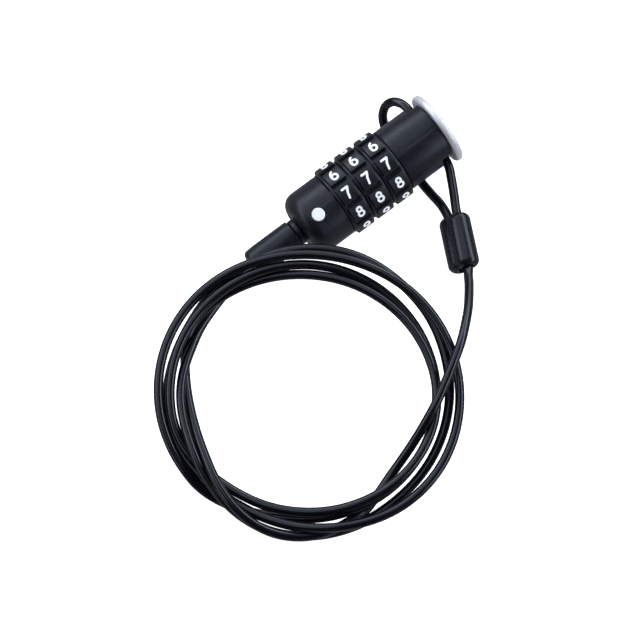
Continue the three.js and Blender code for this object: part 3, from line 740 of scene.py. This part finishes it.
def dial_alongs():
    """Places of a dial's rings, closer together on its rounded edges and sloping walls."""
    wall = [PAD_WALL * w for w in [-0.62, *WALL_SAMPLES]]
    samples = [0, 0.05, 0.13, 0.25, 0.45]
    samples += [PAD_START + w for w in wall]
    samples += list(np.linspace(PAD_START + 0.5, PAD_END - 0.5, 9))
    samples += [PAD_END - w for w in reversed(wall)]
    samples += [DIAL_WIDTH - 0.13, DIAL_WIDTH - 0.05, DIAL_WIDTH]
    notch_end = [NOTCH_START + NOTCH_WALL * w for w in (-0.5, -0.25, 0, 0.25, 0.5)]
    samples += notch_end + [DIAL_WIDTH - along for along in notch_end]
    return sorted(samples)


def dial_angles():
    """Angles of the points of a dial's ring, closer together on walls and in notches."""
    wall = PAD_WALL / PAD_R
    rising = [-PAD_HALF_ANGLE + wall * w for w in [-0.9, -0.6, *WALL_SAMPLES, 0.9]]
    middle = list(np.linspace(-PAD_HALF_ANGLE + 2 * wall, PAD_HALF_ANGLE - 2 * wall, 9))
    falling = [-a for a in reversed(rising)]
    reach = NOTCH_WIDTH / 2 + NOTCH_WALL / 2
    notch = list(NOTCH_AT + np.linspace(-reach, reach, 13) / VALLEY_R)
    one = sorted([*rising, *middle, *falling, *notch, NOTCH_AT + (reach + 0.3) / VALLEY_R])
    return [k * DIGIT_PITCH + a for k in range(DIGIT_COUNT) for a in one]


def from_nearest(angle, place):
    """Angle to the nearest of ten places a pitch apart, one of which is given."""
    return abs((angle - place + DIGIT_PITCH / 2) % DIGIT_PITCH - DIGIT_PITCH / 2)


def dial_radius(along, angle):
    """Outer radius of a dial: rounded edges, raised pads, and a finger notch beside each pad."""
    to_edge = (PAD_HALF_ANGLE - from_nearest(angle, 0)) * PAD_R
    pad = (smooth_step(along, PAD_START, PAD_WALL) * (1 - smooth_step(along, PAD_END, PAD_WALL))
           * smooth_step(to_edge, 0, PAD_WALL))
    inset = max(0.0, DIAL_ROUND - min(along, DIAL_WIDTH - along))
    corner = DIAL_ROUND - math.sqrt(max(0.0, DIAL_ROUND**2 - inset**2))
    radius = VALLEY_R + (PAD_R - VALLEY_R) * pad - corner
    inside = NOTCH_WIDTH / 2 - from_nearest(angle, NOTCH_AT) * VALLEY_R
    notch = (smooth_step(along, NOTCH_START, NOTCH_WALL)
             * (1 - smooth_step(along, DIAL_WIDTH - NOTCH_START, NOTCH_WALL))
             * smooth_step(inside, 0, NOTCH_WALL))
    return radius - (radius - NOTCH_FLOOR_R) * notch


def dial_bore(angle):
    """Inner radius of a dial, with ten slots for the lugs of its code ring."""
    in_slot = from_nearest(angle, 0) < LUG_SLOT_SHARE / 2 * DIGIT_PITCH
    return LUG_SLOT_R if in_slot else DIAL_BORE_R


def dial_barrel(index):
    start = FIRST_DIAL + index * DIAL_PITCH
    angles = dial_angles()
    rings = [[ring_point(start + along, dial_radius(along, a), a) for a in angles]
             for along in dial_alongs()]
    rings += [[ring_point(start + along, dial_bore(a), a) for a in angles] for along in (DIAL_WIDTH, 0)]
    name = f"dial_{index + 1}"
    barrel = skinned(f"{name}_barrel", rings, closed=True)
    return dressed(barrel, DIAL_PLASTIC, name, "black_moulding", name, sharp=50)


# ---- Numerals ----
STROKE = 0.33                # half the width of a stroke
NUMERAL_TOP = 1.45           # from a numeral's middle to the middle of its top stroke
NUMERAL_WIDEN = 1.08
NUMERAL_HEIGHTEN = 1.13
NUMERAL_RAISE = 0.05         # how far the numerals stand above their pads
NUMERAL_DEPTH = 0.15         # and how far they go in


def capsule(a, b):
    """Outline of a straight stroke with round ends."""
    direction = math.atan2(b[1] - a[1], b[0] - a[0])
    outline = []
    for centre, first in ((b, -0.5), (a, 0.5)):
        for k in range(9):
            t = direction + math.pi * (first + k / 8)
            outline.append((centre[0] + STROKE * math.cos(t), centre[1] + STROKE * math.sin(t)))
    return outline


def bow(centre, radii, start, end):
    """Outline of a stroke along an arc of an ellipse, between two angles in degrees."""
    steps = max(6, round(abs(end - start) / 9))
    outer, inner = [], []
    for k in range(steps + 1):
        t = math.radians(start + (end - start) * k / steps)
        x, y = radii[0] * math.cos(t), radii[1] * math.sin(t)
        nx, ny = radii[1] * math.cos(t), radii[0] * math.sin(t)
        size = math.hypot(nx, ny)
        for side, sign in ((outer, 1), (inner, -1)):
            side.append((centre[0] + x + sign * STROKE * nx / size,
                         centre[1] + y + sign * STROKE * ny / size))
    return outer + inner[::-1]


def dot(x, y):
    """Outline of a stroke's round end."""
    return [(x + STROKE * math.cos(TURN * k / 16), y + STROKE * math.sin(TURN * k / 16))
            for k in range(16)]


def ellipse(centre, radii):
    """Outlines of the two halves of a closed stroke."""
    return [bow(centre, radii, 0, 180), bow(centre, radii, 180, 360)]


def ended_bow(centre, radii, start, end):
    """An arc with round ends."""
    tips = [dot(centre[0] + radii[0] * math.cos(math.radians(t)),
                centre[1] + radii[1] * math.sin(math.radians(t))) for t in (start, end)]
    return [bow(centre, radii, start, end), *tips]


def path(*points):
    """Outlines of straight strokes from point to point."""
    return [capsule(a, b) for a, b in zip(points, points[1:])]


def numeral_outlines(digit):
    """Overlapping outlines, in millimetres, of one numeral centred on the origin."""
    top = NUMERAL_TOP
    six = [*ellipse((0, -0.58), (0.86, 0.87)), *ended_bow((0.22, -0.35), (1.08, 1.8), 100, 182)]
    return {
        0: ellipse((0, 0), (0.84, top)),
        1: path((-0.5, top - 0.55), (0.15, top), (0.15, -top)),
        2: [*ended_bow((0, 0.62), (0.83, 0.83), -32, 165), *path((0.7, 0.18), (-0.85, -top)),
            *path((-0.85, -top), (0.88, -top))],
        3: [*ended_bow((-0.05, 0.72), (0.74, 0.73), -80, 150),
            *ended_bow((-0.05, -0.67), (0.88, 0.78), -150, 85)],
        4: path((0.5, -top), (0.5, top), (-1.0, -0.7), (0.98, -0.7)),
        5: [*path((0.75, top), (-0.6, top), (-0.72, 0.12)),
            *ended_bow((-0.04, -0.55), (0.88, 0.9), -150, 138)],
        6: six,
        7: [*path((-0.9, top), (0.88, top)), *path((0.88, top), (0.1, 0.1), (-0.32, -top))],
        8: [*ellipse((0, 0.77), (0.7, 0.69)), *ellipse((0, -0.66), (0.86, 0.8))],
        9: [[(-x, -y) for x, y in outline] for outline in six],
    }[digit]


def numeral_faces(digit):
    """Points and triangles of a numeral's flat face, with its overlapping strokes made one."""
    points, loops = [], []
    for outline in numeral_outlines(digit):
        area = sum(a[0] * b[1] - b[0] * a[1] for a, b in zip(outline, outline[1:] + outline[:1]))
        outline = outline if area > 0 else outline[::-1]
        loops.append(list(range(len(points), len(points) + len(outline))))
        points += outline
    grid = 0.26              # extra points, so that the face can curve
    inside = [(grid * i, grid * j) for i in range(-5, 6) for j in range(-7, 8)]
    corners = [Vector(p) for p in points + inside]
    made, _, faces, _, _, sources = delaunay_2d_cdt(corners, [], loops, 1, 1e-4)
    triangles = [face for face, strokes in zip(faces, sources) if strokes]
    flat = [(p.x * NUMERAL_WIDEN, p.y * NUMERAL_HEIGHTEN) for p in made]
    return flat, triangles


def numerals(index):
    """The ten numerals of one dial, curved to its pads."""
    start = FIRST_DIAL + index * DIAL_PITCH + (PAD_START + PAD_END) / 2
    edit = bmesh.new()
    for digit in range(DIGIT_COUNT):
        flat, triangles = numeral_faces(digit)
        verts = [edit.verts.new((x, y, NUMERAL_RAISE)) for x, y in flat]
        top = [edit.faces.new([verts[i] for i in triangle]) for triangle in triangles]
        grown = bmesh.ops.extrude_face_region(edit, geom=top)["geom"]
        lower = [g for g in grown if isinstance(g, bmesh.types.BMVert)]
        for vert in lower:
            vert.co.z = -NUMERAL_DEPTH
        turn = (digit - SHOWN_DIGIT) * DIGIT_PITCH
        for vert in {*verts, *lower}:
            if vert.link_faces:
                vert.co = LOCK @ Vector(ring_point(
                    start + vert.co.x, PAD_R + vert.co.z, turn - vert.co.y / PAD_R))
    loose = [v for v in edit.verts if not v.link_faces]
    bmesh.ops.delete(edit, geom=loose, context="VERTS")
    bmesh.ops.recalc_face_normals(edit, faces=edit.faces)
    name = f"dial_{index + 1}"
    mesh = bpy.data.meshes.new(f"{name}_numerals")
    edit.to_mesh(mesh)
    edit.free()
    obj = bpy.data.objects.new(f"{name}_numerals", mesh)
    bpy.context.scene.collection.objects.link(obj)
    return dressed(obj, NUMERAL_WHITE, name, "white_plastic")


# ---- Head and pin ----
def head_disc():
    socket_end = HEAD_END - SOCKET_FLOOR
    head = turned("head_plate", [
        (HEAD_START, SOCKET_R, 0.15), (HEAD_START, HEAD_R, 0.95), (HEAD_END, HEAD_R, 1.0),
        (HEAD_END, 0, 0), (socket_end, 0, 0), (socket_end, SOCKET_R, 0.15),
    ], steps=192, fillet_steps=8)
    return dressed(head, SILVER, "head", "silver_metal", "head_disc")


def locking_pin():
    """The pin, with one fin for each dial."""
    pin = turned("locking_pin_shaft", [
        (PIN_START, 0, 0), (PIN_START, PIN_R, 0.35), (PIN_END, PIN_R, 0.2), (PIN_END, 0, 0),
    ], steps=64)
    fins = []
    for i in range(DIAL_COUNT):
        start = FIRST_DIAL + i * DIAL_PITCH + FIN_OFFSET
        fins.append(block(f"fin_{i}", (start, -FIN_WIDTH / 2, FIN_START_R),
                          (start + FIN_LENGTH, FIN_WIDTH / 2, FIN_R), round_mm=0.2))
    boolean(pin, "UNION", *fins)
    return dressed(pin, STEEL, "head", "steel", "locking_pin")


# ---- Reset button and springs ----
def reset_button():
    button = turned("reset_button_cap", [
        (FLANGE_BOTTOM, 0, 0), (FLANGE_BOTTOM, FLANGE_R, 0.12), (FLANGE_TOP, FLANGE_R, 0.12),
        (FLANGE_TOP, BUTTON_R, 0.1), (BUTTON_TOP, BUTTON_R, 0.28), (BUTTON_TOP, 0, 0),
    ], upright(BUTTON_AT), 96)
    return dressed(button, BUTTON_WHITE, "reset_button", "white_plastic", "reset_button")


def spring(name, sizes, along, node):
    """Coil spring of round wire, its end turns closer together."""
    radius, wire, low, high, turns = sizes
    steps = 20
    count = turns * steps
    line = []
    for k in range(count + 1):
        share = smooth_step(k / count, 0.5, 1.3)
        angle = TURN * k / steps
        height = low + wire + (high - low - 2 * wire) * share
        line.append(((radius - wire) * math.cos(angle), (radius - wire) * math.sin(angle), height))
    place = LOCK @ Matrix.Translation((along, 0, 0))
    return dressed(tube(name, line, wire, WIRE_SIDES, place), STEEL, "lock_body", "steel", node)


def springs():
    for i in range(DIAL_COUNT):
        along = FIRST_DIAL + i * DIAL_PITCH + DETENT_OFFSET
        spring(f"detent_coil_{i + 1}", DETENT_COIL, along, f"detent_spring_{i + 1}")
    reset = spring("reset_coil", RESET_COIL, BUTTON_AT, "reset_spring")
    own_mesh(reset)


# ---- Swivelling cable outlet ----
def swivel_collar():
    collar = turned("swivel_ring", [
        (COLLAR_START, STUD_HOLE_R, 0.1), (COLLAR_START, COLLAR_R, 0.3),
        (COLLAR_END, COLLAR_R, 0.35), (COLLAR_END, STUD_HOLE_R, 0.1),
    ])
    return dressed(collar, RELIEF_PLASTIC, "swivel", "black_moulding", "swivel_collar")


def strain_relief():
    relief = turned("strain_relief_sleeve", [
        (RELIEF_CAVITY_START, RELIEF_HOLE_R, 0), (RELIEF_START, RELIEF_MOUTH_R, 0.4),
        (RELIEF_START, RELIEF_TIP_R, 1.5), (RELIEF_START + RELIEF_TAPER, RELIEF_R, 4.0),
        (RELIEF_END, RELIEF_R, 0.35), (RELIEF_END, RELIEF_CAVITY_R, 0.15),
        (RELIEF_CAVITY_START, RELIEF_CAVITY_R, 0),
    ], fillet_steps=10)
    return dressed(relief, RELIEF_PLASTIC, "swivel", "black_moulding", "strain_relief")


# ---- Ferrule ----
def ferrule_place():
    x_axis = Vector((math.cos(FERRULE_YAW), math.sin(FERRULE_YAW), 0))
    level = Vector((-math.sin(FERRULE_YAW), math.cos(FERRULE_YAW), 0))
    y_axis = level * math.cos(FERRULE_ROLL) - Vector((0, 0, 1)) * math.sin(FERRULE_ROLL)
    return placed(x_axis, y_axis, x_axis.cross(y_axis), FERRULE_CENTRE * MM)


def lobe_section(radius, count=96):
    """Outline round two lobes with a soft crease between them, about the middle of the pair."""
    lobes = [Vector((side * LOBE_SPACING / 2, 0)) for side in (-1, 1)]
    outline = []
    for k in range(count):
        angle = TURN * k / count
        direction = Vector((math.cos(angle), math.sin(angle)))
        low, high = 0.0, 2 * LOBE_R
        for _ in range(30):
            middle = (low + high) / 2
            near, far = sorted((direction * middle - lobe).length for lobe in lobes)
            blend = max(0.0, 1 - (far - near) / LOBE_BLEND)
            if near - LOBE_BLEND * blend**2 / 6 < radius:
                low = middle
            else:
                high = middle
        outline.append(direction * low)
    return outline


def ferrule():
    """The ferrule's cover: rounded ends, each with a shallow mouth that the strands go into."""
    mouth = [(1.5, 1.6), (0.9, 1.75), (0.35, 1.95), (0.2, 2.3)]      # depth from the end, radius
    half = [(depth - FERRULE_HALF, radius) for depth, radius in mouth]
    for a in np.linspace(0.55, math.pi / 2, 10):
        along = FERRULE_ROUND * (1 - math.cos(a)) - FERRULE_HALF
        half.append((along, LOBE_R - FERRULE_ROUND * (1 - math.sin(a))))
    rows = [*half, (0.0, LOBE_R), *[(-along, radius) for along, radius in reversed(half)]]
    rings = [[(along, p.x + LOBE_SPACING / 2, p.y) for p in lobe_section(radius)]
             for along, radius in rows]
    cover = skinned("ferrule_boot", rings, ferrule_place())
    return dressed(cover, FERRULE_PLASTIC, "lock_body", "black_moulding", "ferrule_cover", sharp=60)


# ---- Inner pieces that keep their CAD shape ----
INNER_FINISH = {
    "core_sleeve": DIE_CAST, "code_ring_1": BRASS, "code_ring_2": BRASS, "code_ring_3": BRASS,
    "detent_ball_1": STEEL, "detent_ball_2": STEEL, "detent_ball_3": STEEL, "cap_roll_pin": STEEL,
    "body_roll_pin": STEEL, "swivel_stud": BLACK_STEEL, "cable_crimp": STEEL, "ferrule_sleeve": STEEL,
}


def finish_inner_nodes():
    """Material and slightly rounded edges."""
    for node, material in INNER_FINISH.items():
        obj = frame["nodes"][node]
        obj.data.materials.clear()
        obj.data.materials.append(material)
        weld = obj.modifiers.new("weld", "WELD")
        weld.merge_threshold = 1e-6
        bevel = obj.modifiers.new("bevel", "BEVEL")
        bevel.width = 0.08 * MM
        bevel.segments = 2
        bevel.angle_limit = math.radians(40)


# ---- Floor and light ----
LIGHT_FROM_BELOW = 0.32
LIGHT_FROM_ABOVE = 0.02
HORIZON_BLUR = 0.15
LIGHT_COLOUR = (0.88, 0.94, 1.0)
FLOOR_HALF = 3.0             # metres


def add_floor():
    """White floor that glows, so that it is evenly white, and is not mirrored in the lock."""
    floor = bpy.data.objects.new("floor", bpy.data.meshes.new("floor"))
    corners = [(x * FLOOR_HALF, y * FLOOR_HALF, 0) for x, y in ((-1, -1), (1, -1), (1, 1), (-1, 1))]
    floor.data.from_pydata(corners, [], [(0, 1, 2, 3)])
    material = bpy.data.materials.new("pale_floor")
    material.use_nodes = True
    shader = material.node_tree.nodes["Principled BSDF"]
    shader.inputs["Base Color"].default_value = (0.9, 0.9, 0.9, 1)
    shader.inputs["Roughness"].default_value = 0.9
    shader.inputs["Emission Color"].default_value = (1, 1, 1, 1)
    shader.inputs["Emission Strength"].default_value = 1.0
    floor.data.materials.append(material)
    bpy.context.scene.collection.objects.link(floor)
    floor.visible_glossy = False


def add_softbox(name, direction, distance, size, radiance, mirrored=True):
    """Flat light, in metres, seen from the object in a direction (right, up, towards the camera)."""
    light = bpy.data.lights.new(name, "AREA")
    light.shape = "RECTANGLE"
    light.size, light.size_y = size
    light.energy = radiance * math.pi * size[0] * size[1]
    light.color = LIGHT_COLOUR
    obj = bpy.data.objects.new(name, light)
    right, up, out = Vector(direction).normalized() * distance
    offset = camera_right * right + camera_up * up + towards_camera * out
    obj.location = CAMERA_TARGET + offset
    obj.visible_glossy = mirrored
    obj.rotation_mode = "QUATERNION"
    facing = offset.normalized()
    level = camera_up.cross(facing).normalized()
    upward = facing.cross(level)
    obj.rotation_quaternion = Matrix((level, upward, facing)).transposed().to_quaternion()
    bpy.context.scene.collection.objects.link(obj)


def add_world():
    """Dim above, and lighter below the horizon, as light comes back from the floor."""
    world = bpy.data.worlds.new("studio")
    world.use_nodes = True
    tree = world.node_tree
    background = tree.nodes["Background"]
    background.inputs["Color"].default_value = (0.9, 0.93, 1.0, 1)
    height = tree.nodes.new("ShaderNodeSeparateXYZ")
    tree.links.new(tree.nodes.new("ShaderNodeTexCoord").outputs["Generated"], height.inputs["Vector"])
    strength = tree.nodes.new("ShaderNodeMapRange")
    strength.inputs["From Min"].default_value = -HORIZON_BLUR
    strength.inputs["From Max"].default_value = HORIZON_BLUR
    strength.inputs["To Min"].default_value = LIGHT_FROM_BELOW
    strength.inputs["To Max"].default_value = LIGHT_FROM_ABOVE
    tree.links.new(height.outputs["Z"], strength.inputs["Value"])
    tree.links.new(strength.outputs["Result"], background.inputs["Strength"])
    bpy.context.scene.world = world
    bpy.context.scene.view_settings.view_transform = "Standard"


# ---- Put together ----
cable_path = [p * MM for p in cable_line]
cable_piece = cable(cable_path)
rear_cap()
front_body()
for dial_index in range(DIAL_COUNT):
    dial_barrel(dial_index)
    numerals(dial_index)
head_disc()
locking_pin()
reset_button()
springs()
swivel_collar()
strain_relief()
ferrule_piece = ferrule()
finish_inner_nodes()

add_floor()
add_world()
add_softbox("key", (-0.44, 0.63, 0.64), 1.0, (1.5, 1.5), 1.05)
add_softbox("left_strip", (-0.85, 0.3, 0.45), 1.0, (0.35, 2.2), 2.4)
add_softbox("right_strip", (0.84, 0.4, 0.5), 1.0, (0.4, 2.4), 4.4)
add_softbox("top_strip", (0.05, 0.95, 0.1), 1.2, (1.6, 0.5), 1.8)
add_softbox("fill", (0.1, 0.2, 1.0), 1.2, (0.6, 0.6), 4.0, mirrored=False)
